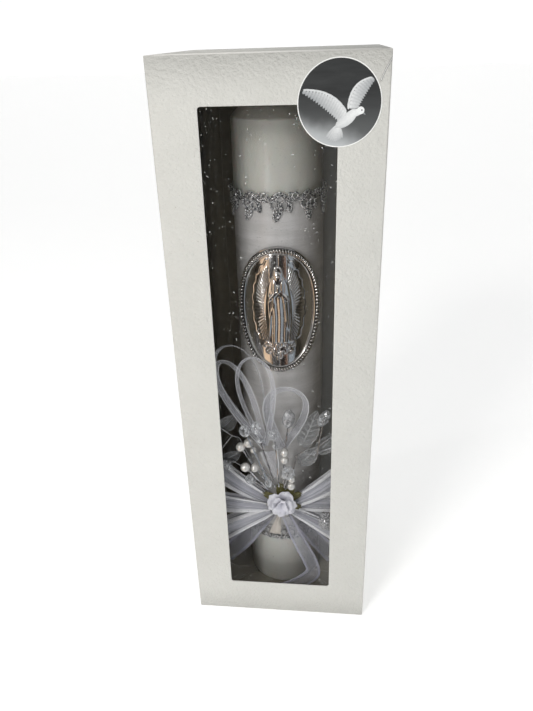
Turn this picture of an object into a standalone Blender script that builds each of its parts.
"""Decorated unity candle standing in its window gift carton.

Frame: origin under the middle of the carton, +Z up, the window faces -Y. All sizes below are
millimetres, and the helpers turn them into metres.
"""
import math

import bmesh
import bpy
from mathutils import Matrix, Vector

MM = 0.001

# Carton: 4.5 x 4.5 x 14 inch, cut from 0.6 mm board
WIDTH = 114.3
DEPTH = 114.3
HEIGHT = 355.6
BOARD = 0.6
GAP = 0.3
FRONT = -DEPTH / 2
BACK = DEPTH / 2
SIDE = WIDTH / 2
INSIDE = BOARD + GAP

# Window, film and label in the front panel
WINDOW_HALF = 33.5
WINDOW_LOW = 25.4
WINDOW_HIGH = 333.0
FILM = 0.25
FILM_LAP = 6.5
FILM_TOP = 338.0
LABEL_X = 33.9
LABEL_Z = 333.3
LABEL_RADIUS = 19.6
LABEL_THICK = 0.2

# Top closure
LID_AXIS_Z = HEIGHT - BOARD / 2
WALL_TOP = HEIGHT - 2 * BOARD - 2 * GAP
TUCK_SETBACK = 2.3
TUCK_LENGTH = 14.4
TUCK_HALF = 52.0
DUST_REACH = 28.5
DUST_FRONT = -51.0
DUST_BACK = 51.0
DUST_TAPER = 30.0

# Candle
CANDLE_Y = -8.0
CANDLE_RADIUS = 25.4
CANDLE_BASE = 2.8
SHOULDER = 323.5
CANDLE_TOP = 330.0
CROWN_RADIUS = 18.0
BORE_RADIUS = 1.7
WICK_RADIUS = 1.2
WICK_TOP = 338.0
SATIN_INNER = CANDLE_RADIUS + GAP
SATIN_OUTER = SATIN_INNER + 0.4
TRIM_INNER = SATIN_OUTER + GAP

# Medallion, an oval wrapped on the pillar
MEDAL_Z = 218.5
MEDAL_TURN = 3.0
MEDAL_HALF_HEIGHT = 39.3
MEDAL_HALF_ARC = 28.6
ROPE_RADIUS = 2.2

# Bow and bouquet
KNOT = (1.0, -38.0, 80.0)
LOOP_START = 7.2
LOOP_ROOT_HALF = 3.0
LOOP_TIP_HALF = 10.5
RIBBON = 0.35
FOCUS = (1.0, 92.0)
WIRE_START = 11.5
WIRE_RADIUS = 0.3
ROSE = (2.1, -43.4, 87.7)

PARTS = None


def clear_scene():
    """Remove whatever the file holds."""
    for item in list(bpy.data.objects):
        bpy.data.objects.remove(item, do_unlink=True)


def collection(name):
    """New collection in the scene."""
    group = bpy.data.collections.new(name)
    bpy.context.scene.collection.children.link(group)
    return group


def finish(name, colour, roughness, metallic=0.0):
    """Plain Principled material."""
    material = bpy.data.materials.new(name)
    material.use_nodes = True
    shader = material.node_tree.nodes["Principled BSDF"]
    shader.inputs["Base Color"].default_value = (*colour, 1.0)
    shader.inputs["Roughness"].default_value = roughness
    shader.inputs["Metallic"].default_value = metallic
    return material


def pivot(name, x, y, z):
    """Empty on a joint's axis, or at a body's own origin."""
    empty = bpy.data.objects.new(name, None)
    empty.location = (x * MM, y * MM, z * MM)
    PARTS.objects.link(empty)
    return empty


def add(name, data, material, parent, place=None):
    """Object named for its node, held by its body's empty."""
    data.materials.append(material)
    item = bpy.data.objects.new(name, data)
    PARTS.objects.link(item)
    item.parent = parent
    item.matrix_parent_inverse = Matrix.Translation(-parent.location)
    item.matrix_basis = place or Matrix.Identity(4)
    return item


def mesh_from(name, bm):
    """Mesh data from a bmesh, which is then freed."""
    mesh = bpy.data.meshes.new(name)
    bm.to_mesh(mesh)
    bm.free()
    return mesh


def box(name, low, high, material, parent):
    """Rectangular block between two corners."""
    bm = bmesh.new()
    bmesh.ops.create_cube(bm, size=1.0)
    bmesh.ops.scale(bm, vec=[(b - a) * MM for a, b in zip(low, high)], verts=bm.verts)
    centre = Vector([(a + b) / 2 * MM for a, b in zip(low, high)])
    return add(name, mesh_from(name, bm), material, parent, Matrix.Translation(centre))


def outline(name, loops, thickness, place, material, parent):
    """Flat plate from closed outlines; loops after the first are holes."""
    curve = bpy.data.curves.new(name, "CURVE")
    curve.dimensions = "2D"
    curve.fill_mode = "BOTH"
    curve.extrude = thickness / 2 * MM
    for loop in loops:
        spline = curve.splines.new("POLY")
        spline.points.add(len(loop) - 1)
        for point, (u, v) in zip(spline.points, loop):
            point.co = (u * MM, v * MM, 0.0, 1.0)
        spline.use_cyclic_u = True
    return add(name, curve, material, parent, place)


def facing_front(y):
    """Plate plane with its u along X and its v along Z, at depth y."""
    return Matrix.Translation((0.0, y * MM, 0.0)) @ Matrix.Rotation(math.pi / 2, 4, "X")


def lying(z):
    """Plate plane with its u along X and its v along Y, at height z."""
    return Matrix.Translation((0.0, 0.0, z * MM))


def turned(name, profile, place, material, parent, steps=48, closed=True, wall=None):
    """Ring or solid of revolution about the local Z axis."""
    mesh = bpy.data.meshes.new(name)
    last = len(profile) if closed else len(profile) - 1
    edges = [(i, (i + 1) % len(profile)) for i in range(last)]
    mesh.from_pydata([(r * MM, 0.0, z * MM) for r, z in profile], edges, [])
    item = add(name, mesh, material, parent, place)
    screw = item.modifiers.new("Screw", "SCREW")
    screw.steps = steps
    screw.render_steps = steps
    screw.use_merge_vertices = True
    screw.merge_threshold = 0.00002
    screw.use_smooth_shade = True
    if wall:
        thicken(item, wall)
    return item


def thicken(item, wall):
    """Give an open surface a wall, centred on it."""
    solid = item.modifiers.new("Solidify", "SOLIDIFY")
    solid.thickness = wall * MM
    solid.offset = 0.0


def strip(name, centres, across, halves, wall, material, parent):
    """Ribbon through its centre points, with its own half width at each of them."""
    bm = bmesh.new()
    rails = []
    for point, side, half in zip(centres, across, halves):
        middle = Vector(point) * MM
        offset = Vector(side).normalized() * half * MM
        rails.append((bm.verts.new(middle - offset), bm.verts.new(middle + offset)))
    for (a, b), (c, d) in zip(rails, rails[1:]):
        bm.faces.new((a, b, d, c))
    item = add(name, mesh_from(name, bm), material, parent)
    thicken(item, wall)
    return item


def tube(name, path, material, parent, closed=False):
    """Tube of changing radius along a list of (point, radius)."""
    curve = bpy.data.curves.new(name, "CURVE")
    curve.dimensions = "3D"
    curve.fill_mode = "FULL"
    curve.bevel_depth = MM
    curve.bevel_resolution = 2
    curve.use_fill_caps = True
    spline = curve.splines.new("POLY")
    spline.points.add(len(path) - 1)
    for knot, (place, radius) in zip(spline.points, path):
        knot.co = (*(Vector(place) * MM), 1.0)
        knot.radius = radius
    spline.use_cyclic_u = closed
    return add(name, curve, material, parent)


def on_pillar(arc, z, radius):
    """Point on a cylinder about the candle's axis, arc measured along the medallion's frame."""
    angle = math.radians(MEDAL_TURN) + arc / (TRIM_INNER + ROPE_RADIUS)
    return Vector((radius * math.sin(angle), CANDLE_Y - radius * math.cos(angle), z))


# ---------------------------------------------------------------- carton

def carton_walls(board, root):
    """Four walls of the sleeve and the glue flap of its seam."""
    window = [(-WINDOW_HALF, WINDOW_LOW), (WINDOW_HALF, WINDOW_LOW),
              (WINDOW_HALF, WINDOW_HIGH), (-WINDOW_HALF, WINDOW_HIGH)]
    front_top = HEIGHT - GAP
    panel = [(-SIDE, 0.0), (SIDE, 0.0), (SIDE, front_top), (-SIDE, front_top)]
    outline("carton_front_panel", [panel, window], BOARD,
            facing_front(FRONT + BOARD / 2), board, root)
    box("carton_back_panel", (-SIDE, BACK - BOARD, 0.0), (SIDE, BACK, WALL_TOP - GAP), board, root)
    for name, sign in (("left", -1), ("right", 1)):
        faces = sorted((sign * SIDE, sign * (SIDE - BOARD)))
        box(f"carton_{name}_panel", (faces[0], FRONT + INSIDE, 0.0),
            (faces[1], BACK - INSIDE, WALL_TOP), board, root)
    seam = BACK - INSIDE
    box("carton_glue_flap", (-SIDE + INSIDE + GAP, seam - BOARD, 4.0),
        (-SIDE + 14.0, seam, WALL_TOP - 4.0), board, root)


def window_and_label(film, paper, root):
    """Film glued behind the window, and the round label across its upper corner."""
    film_face = FRONT + INSIDE
    reach = WINDOW_HALF + FILM_LAP
    box("window_film", (-reach, film_face, WINDOW_LOW - FILM_LAP),
        (reach, film_face + FILM, FILM_TOP), film, root)
    bm = bmesh.new()
    bmesh.ops.create_cone(bm, cap_ends=True, segments=48, radius1=LABEL_RADIUS * MM,
                          radius2=LABEL_RADIUS * MM, depth=LABEL_THICK * MM)
    label_y = FRONT - GAP - LABEL_THICK / 2
    place = (Matrix.Translation(Vector((LABEL_X, label_y, LABEL_Z)) * MM)
             @ Matrix.Rotation(math.pi / 2, 4, "X"))
    add("dove_label", mesh_from("dove_label", bm), paper, root, place)


def top_closure(board, lid_axis, tuck_axis, dust_left_axis, dust_right_axis):
    """Lid hinged on the back wall, its tuck flap, and the two dust flaps under it."""
    lid_low = HEIGHT - BOARD
    box("lid_panel", (-SIDE, FRONT + INSIDE, lid_low), (SIDE, BACK, HEIGHT), board, lid_axis)
    tuck_face = FRONT + TUCK_SETBACK
    tuck_top = lid_low - GAP
    corner = 6.0
    flap = [(-TUCK_HALF, tuck_top), (-TUCK_HALF, tuck_top - TUCK_LENGTH + corner),
            (-TUCK_HALF + corner, tuck_top - TUCK_LENGTH),
            (TUCK_HALF - corner, tuck_top - TUCK_LENGTH),
            (TUCK_HALF, tuck_top - TUCK_LENGTH + corner), (TUCK_HALF, tuck_top)]
    outline("lid_tuck_flap", [flap], BOARD, facing_front(tuck_face + BOARD / 2), board, tuck_axis)
    middle = lid_low - GAP - BOARD / 2
    for name, sign, axis in (("left", -1, dust_left_axis), ("right", 1, dust_right_axis)):
        fold = sign * SIDE
        tip = sign * (SIDE - DUST_REACH)
        shape = [(fold, DUST_FRONT), (tip, DUST_FRONT + 6.0), (tip, DUST_TAPER),
                 (sign * (SIDE - 4.0), DUST_BACK), (fold, DUST_BACK)]
        outline(f"dust_flap_{name}", [shape], BOARD, lying(middle), board, axis)


def snap_lock_bottom(board, root):
    """Four flaps of the self-locking bottom, from the outer one to the inner one."""
    level = BOARD + GAP
    edge_x = SIDE - INSIDE - GAP
    edge_y = BACK - INSIDE - GAP
    tongue = [(-edge_x, -edge_y), (edge_x, -edge_y), (edge_x - 6.0, -8.0), (24.0, -4.0),
              (20.0, 14.0), (-20.0, 14.0), (-24.0, -4.0), (-edge_x + 6.0, -8.0)]
    outline("bottom_flap_front", [tongue], BOARD, lying(BOARD / 2), board, root)
    for name, sign in (("left", -1), ("right", 1)):
        wing = [(sign * edge_x, -edge_y), (sign * 26.0, -26.0), (sign * 10.0, -20.0),
                (sign * 10.0, 8.0), (sign * 30.0, 24.0), (sign * edge_x, edge_y)]
        outline(f"bottom_flap_{name}", [wing], BOARD, lying(level + BOARD / 2), board, root)
    inner = [(-edge_x, edge_y), (edge_x, edge_y), (edge_x - 4.0, -12.0), (36.0, -20.0),
             (-36.0, -20.0), (-edge_x + 4.0, -12.0)]
    outline("bottom_flap_back", [inner], BOARD, lying(2 * level + BOARD / 2), board, root)


# ---------------------------------------------------------------- candle

def pillar(wax, cotton, tin, body):
    """Wax pillar with its bore and base recess, the wick, and the sustainer that holds it."""
    axis = Matrix.Translation((0.0, CANDLE_Y * MM, 0.0))
    recess = CANDLE_BASE + 1.3
    profile = [(BORE_RADIUS, CANDLE_TOP - 1.5), (CROWN_RADIUS - 4.0, CANDLE_TOP - 0.6),
               (CROWN_RADIUS, CANDLE_TOP), (CANDLE_RADIUS - 0.6, SHOULDER + 0.8),
               (CANDLE_RADIUS, SHOULDER), (CANDLE_RADIUS, CANDLE_BASE + 1.2),
               (CANDLE_RADIUS - 1.2, CANDLE_BASE), (10.6, CANDLE_BASE), (10.6, recess),
               (3.2, recess), (3.2, recess + 5.0), (BORE_RADIUS, recess + 5.0)]
    turned("wax_pillar", profile, axis, wax, body)
    cup = [(9.8, CANDLE_BASE + 0.8), (9.8, CANDLE_BASE + 0.2), (1.5, CANDLE_BASE + 0.2),
           (1.5, recess + 4.4), (2.7, recess + 4.4), (2.7, CANDLE_BASE + 0.8)]
    turned("wick_sustainer", cup, axis, tin, body, steps=32)
    wick = [((0.0, CANDLE_Y, CANDLE_BASE + 0.6), WICK_RADIUS),
            ((0.0, CANDLE_Y, CANDLE_TOP), WICK_RADIUS),
            ((0.3, CANDLE_Y, CANDLE_TOP + 4.0), WICK_RADIUS),
            ((1.4, CANDLE_Y, WICK_TOP), WICK_RADIUS)]
    tube("wick", wick, cotton, body)


def sleeve(name, inner, outer, low, high, material, body):
    """Plain band round the pillar."""
    axis = Matrix.Translation((0.0, CANDLE_Y * MM, 0.0))
    profile = [(inner, high), (outer, high), (outer, low), (inner, low)]
    turned(name, profile, axis, material, body)


def pillar_trims(satin, silver, body):
    """Satin wrap with a silver braid glued over each of its ends."""
    sleeve("satin_wrap", SATIN_INNER, SATIN_OUTER, 47.0, 285.0, satin, body)
    sleeve("upper_braid", TRIM_INNER, TRIM_INNER + 1.8, 272.0, 288.5, silver, body)
    sleeve("lower_braid", TRIM_INNER, TRIM_INNER + 1.8, 44.3, 57.6, silver, body)


def medallion(silver, body):
    """Embossed oval plate wrapped on the pillar, inside a rope-edged frame."""
    rope_arc = MEDAL_HALF_ARC - ROPE_RADIUS
    rope_height = MEDAL_HALF_HEIGHT - ROPE_RADIUS
    count = 48
    rope = []
    for index in range(count):
        turn = 2 * math.pi * index / count
        rope.append(on_pillar(rope_arc * math.cos(turn), MEDAL_Z + rope_height * math.sin(turn),
                              TRIM_INNER + ROPE_RADIUS))
    tube("medallion_frame", [(point, ROPE_RADIUS) for point in rope], silver, body, closed=True)

    plate_arc = rope_arc - ROPE_RADIUS - GAP
    plate_height = rope_height - ROPE_RADIUS - GAP
    bm = bmesh.new()
    bmesh.ops.create_circle(bm, cap_ends=True, segments=40, radius=1.0)
    for index in range(1, 12):
        cut = Vector((index / 6 - 1, 0.0, 0.0))
        geometry = bm.verts[:] + bm.edges[:] + bm.faces[:]
        bmesh.ops.bisect_plane(bm, geom=geometry, plane_co=cut, plane_no=(1, 0, 0), dist=1e-6)
    for vert in bm.verts:
        vert.co = on_pillar(vert.co.x * plate_arc, MEDAL_Z + vert.co.y * plate_height,
                            TRIM_INNER + 0.8) * MM
    plate = add("medallion_plate", mesh_from("medallion_plate", bm), silver, body)
    thicken(plate, 1.2)


# ---------------------------------------------------------------- bow and bouquet

def bow_loop(name, degrees, reach, depth, spread, organza, body):
    """Loop of wide ribbon: out from the knot in front, round, and back behind."""
    angle = math.radians(degrees)
    outward = Vector((math.cos(angle), 0.0, math.sin(angle)))
    across = Vector((-math.sin(angle), 0.0, math.cos(angle)))
    centres, halves = [], []
    steps = 12
    for index in range(steps + 1):
        turn = math.pi * index / steps
        swell = math.sin(turn)
        point = Vector(KNOT) + outward * (LOOP_START + (reach - LOOP_START) * swell)
        point.y = depth - spread * math.cos(turn) * (1 + swell)
        centres.append(point)
        halves.append(LOOP_ROOT_HALF + (LOOP_TIP_HALF - LOOP_ROOT_HALF) * swell)
    strip(name, centres, [across] * len(centres), halves, RIBBON, organza, body)


def bow_tail(name, points, halves, organza, body):
    """Hanging end of the bow's ribbon, facing forwards."""
    across = []
    for index, point in enumerate(points):
        before = Vector(points[max(index - 1, 0)])
        after = Vector(points[min(index + 1, len(points) - 1)])
        run = after - before
        across.append(Vector((-run.z, 0.0, run.x)))
    strip(name, points, across, halves, RIBBON, organza, body)


def bow(organza, body):
    """Knot, six loops and three tails."""
    x, y, z = KNOT
    knot = box("bow_knot", (x - 4.4, y - 3.0, z - 4.4), (x + 4.4, y + 3.2, z + 4.4),
               organza, body)
    bevel = knot.modifiers.new("Bevel", "BEVEL")
    bevel.width = 1.6 * MM
    bevel.segments = 2
    behind, before = -37.0, -41.2
    bow_loop("bow_loop_upper_left", 142, 46, before, 0.75, organza, body)
    bow_loop("bow_loop_upper_right", 38, 48, before, 0.75, organza, body)
    bow_loop("bow_loop_lower_left", 211, 46, before, 0.75, organza, body)
    bow_loop("bow_loop_lower_right", -26, 46, before, 0.75, organza, body)
    bow_loop("bow_loop_middle_left", 178, 44, behind, 0.75, organza, body)
    bow_loop("bow_loop_middle_right", 9, 44, behind, 0.75, organza, body)
    bow_tail("bow_tail_back_left", [(-3.6, -37, 74.2), (-13.5, -37, 61.5), (-26, -37, 46),
                                    (-42, -35, 27)], [2.6, 6, 8, 9], organza, body)
    bow_tail("bow_tail_back_right", [(5.4, -37, 74.2), (14, -37, 62), (24, -37, 49),
                                     (38, -35, 31)], [2.6, 6, 8, 9], organza, body)
    bow_tail("bow_tail_front", [(5.5, -44.2, 74), (11, -45, 61), (16, -45.5, 48),
                                (20, -46, 36), (19, -47.5, 25.5), (11, -49, 17), (0, -50, 12)],
             [4.5, 6, 7, 7.5, 7.5, 7, 6.5], organza, body)


def sheer_loop(name, base, tip, swell, depth, organza, body):
    """Teardrop loop of narrow ribbon standing above the bow."""
    base, tip = Vector((base[0], depth, base[1])), Vector((tip[0], depth, tip[1]))
    along = tip - base
    aside = Vector((along.z, 0.0, -along.x)).normalized()
    centres = []
    steps = 20
    for index in range(steps + 1):
        turn = math.pi * (0.05 + 0.9 * index / steps)
        centres.append(base + along * math.sin(turn) + aside * swell * math.sin(2 * turn) / 2)
    count = len(centres)
    strip(name, centres, [(0, 1, 0)] * count, [1.5] * count, RIBBON, organza, body)


def sheer_loops(organza, body):
    """Four narrow loops, each in its own plane."""
    sheer_loop("sheer_loop_back", (-9, 128), (-31, 197), 26, -36.2, organza, body)
    sheer_loop("sheer_loop_left", (-9, 128), (-34, 188), 16, -39.8, organza, body)
    sheer_loop("sheer_loop_middle", (-8, 131), (-15, 193), 21, -43.4, organza, body)
    sheer_loop("sheer_loop_right", (2, 125), (8, 169), 20, -36.2, organza, body)


def bead_path(beads, depth, start=None):
    """Wire from near the rose through its beads, each bead (x, z, radius, half length)."""
    if start is None:
        aim = Vector((beads[0][0] - FOCUS[0], beads[0][1] - FOCUS[1])).normalized()
        start = Vector(FOCUS) + aim * WIRE_START
    path = [((start[0], depth, start[1]), WIRE_RADIUS)]
    before = Vector((start[0], depth, start[1]))
    for x, z, radius, half in beads:
        centre = Vector((x, depth, z))
        along = (centre - before).normalized()
        for step in (173, 145, 115, 90, 65, 35, 7):
            turn = math.radians(step)
            thick = max(radius * math.sin(turn), WIRE_RADIUS)
            path.append((centre + along * half * math.cos(turn), thick))
        before = centre
    return path


def picks(pearl, crystal, glitter, body):
    """Pearls and crystals on wires that fan out from behind the rose."""
    near, far = -50.5, -46.5
    pearls = {
        "pearl_pick_left": ([(-15.4, 115.0, 3, 3), (-23.7, 130.7, 3, 3)], far),
        "pearl_pick_side": ([(-20.7, 118.1, 3, 3)], near),
        "pearl_pick_upper": ([(-15.6, 128.6, 2, 2), (-18.6, 133.9, 3, 3)], far),
        "pearl_pick_middle": ([(3.7, 109.1, 2, 2), (4.0, 121.9, 2.8, 2.8),
                               (4.1, 127.7, 2.8, 2.8)], far),
        "pearl_pick_lower": ([(8.1, 101.6, 2.8, 2.8), (8.4, 107.4, 2.8, 2.8)], far, (8.0, 98.6)),
    }
    crystals = {
        "crystal_pick_side": ([(-18.2, 105.4, 3.4, 3.8), (-33.6, 116.4, 3.0, 4.5)], far),
        "crystal_pick_left": ([(-6.2, 106.1, 2.6, 3.0), (-19.8, 145.6, 3.6, 4.0)], near),
        "crystal_pick_upper": ([(-10.7, 139.6, 2.4, 2.4), (-12.6, 147.9, 3.4, 4.6)], near),
        "crystal_pick_middle": ([(-1.0, 134.8, 1.8, 1.8), (-2.4, 143.5, 3.6, 3.6)], near),
        "crystal_pick_lower": ([(6.6, 114.7, 4.4, 4.4)], near),
        "crystal_drop_right": ([(28.6, 149.7, 3.4, 6.2)], -40.0, (24.0, 121.0)),
    }
    for name, layout in pearls.items():
        tube(name, bead_path(*layout), pearl, body)
    for name, layout in crystals.items():
        tube(name, bead_path(*layout), crystal, body)
    tube("glitter_bud", bead_path([(6.6, 149.0, 3.7, 6.4)], -41.5, (3.0, 112.0)), glitter, body)
    tube("silver_bead_ball", bead_path([(31.0, 74.5, 5.4, 5.4)], -49.2, (16.5, 82.0)),
         glitter, body)


def leaf(name, foot, tip, depth, half, material, body):
    """Thin pointed leaf facing forwards."""
    foot, tip = Vector((foot[0], depth, foot[1])), Vector((tip[0], depth, tip[1]))
    along = tip - foot
    across = Vector((-along.z, 0.0, along.x))
    steps = 8
    centres, halves = [], []
    for index in range(steps + 1):
        share = index / steps
        lift = Vector((0.0, 1.2 * math.sin(math.pi * share), 0.0))
        centres.append(foot + along * share + lift)
        halves.append(0.5 + (half - 0.5) * math.sin(math.pi * share) ** 0.8)
    strip(name, centres, [across] * len(centres), halves, 0.5, material, body)


def leaves_and_gathers(crystal, organza, body):
    """Clear leaves beside the loops, and two gathered bits of sheer ribbon."""
    leaf("clear_leaf_left", (-37.5, 137.0), (-27.0, 148.5), -36.0, 5.0, crystal, body)
    leaf("clear_leaf_right", (14.5, 124.0), (24.0, 151.0), -32.5, 6.5, crystal, body)
    bow_tail("organza_fan", [(-1.5, -44.4, 106), (-4, -44.4, 116), (-6, -44.4, 127)],
             [1.6, 4.5, 6.0], organza, body)
    bow_tail("cream_gather", [(-0.6, -44.2, 74.6), (-3.0, -44.2, 66), (-5.4, -43.4, 57)],
             [1.0, 3.6, 5.2], organza, body)


def rose(paper, green, body):
    """Paper rose: a leafy calyx and three layers of petals, opening forwards."""
    x, y, z = ROSE
    forwards = (Matrix.Translation(Vector(ROSE) * MM) @ Matrix.Rotation(math.pi / 2, 4, "X"))
    star = []
    for index in range(10):
        turn = math.radians(36 * index + 90)
        radius = 12.4 if index % 2 == 0 else 7.5
        star.append((x + radius * math.cos(turn), z + radius * math.sin(turn)))
    outline("rose_calyx", [star], 0.5, facing_front(y), green, body)
    outer = [(11.0, 6.0), (9.8, 3.0), (6.4, 1.2), (1.6, 1.0)]
    middle = [(7.4, 8.2), (6.8, 4.8), (4.6, 2.4), (1.6, 2.1)]
    turned("rose_petals_outer", outer, forwards, paper, body, 20, closed=False, wall=0.5)
    turned("rose_petals_middle", middle, forwards, paper, body, 20, closed=False, wall=0.5)
    bud = [(0.0, 10.0), (2.4, 9.8), (4.2, 6.6), (3.0, 3.2), (0.0, 3.0)]
    turned("rose_bud", bud, forwards, paper, body, 16, closed=False)


def build():
    """Whole object, body by body."""
    board = finish("board", (0.83, 0.83, 0.80), 0.85)
    film = finish("film", (0.90, 0.92, 0.93), 0.05)
    label_paper = finish("label_paper", (0.12, 0.12, 0.13), 0.4)
    wax = finish("wax", (0.86, 0.85, 0.81), 0.45)
    cotton = finish("cotton", (0.80, 0.77, 0.70), 0.9)
    tin = finish("tin", (0.60, 0.60, 0.60), 0.35, 1.0)
    satin = finish("satin", (0.88, 0.87, 0.86), 0.35)
    silver = finish("silver", (0.66, 0.65, 0.64), 0.25, 1.0)
    organza = finish("organza", (0.80, 0.80, 0.84), 0.5)
    petal = finish("petal_paper", (0.90, 0.89, 0.88), 0.7)
    green = finish("calyx_green", (0.30, 0.29, 0.12), 0.7)
    pearl = finish("pearl", (0.88, 0.85, 0.80), 0.2)
    crystal = finish("crystal", (0.85, 0.87, 0.88), 0.05)
    glitter = finish("glitter", (0.70, 0.70, 0.72), 0.3, 1.0)

    root = pivot("carton_origin", 0.0, 0.0, 0.0)
    crease = SIDE - BOARD / 2
    dust_z = HEIGHT - 2 * BOARD - GAP + BOARD / 2
    lid_axis = pivot("lid_axis", 0.0, BACK - BOARD / 2, LID_AXIS_Z)
    tuck_axis = pivot("tuck_axis", 0.0, FRONT + TUCK_SETBACK + BOARD / 2, dust_z)
    dust_left_axis = pivot("dust_left_axis", -crease, 0.0, dust_z)
    dust_right_axis = pivot("dust_right_axis", crease, 0.0, dust_z)
    candle = pivot("candle_axis", 0.0, CANDLE_Y, CANDLE_BASE)

    carton_walls(board, root)
    window_and_label(film, label_paper, root)
    snap_lock_bottom(board, root)
    top_closure(board, lid_axis, tuck_axis, dust_left_axis, dust_right_axis)
    pillar(wax, cotton, tin, candle)
    pillar_trims(satin, silver, candle)
    medallion(silver, candle)
    bow(organza, candle)
    sheer_loops(organza, candle)
    picks(pearl, crystal, glitter, candle)
    leaves_and_gathers(crystal, organza, candle)
    rose(petal, green, candle)


clear_scene()
PARTS = collection("boxed_unity_candle")
build()
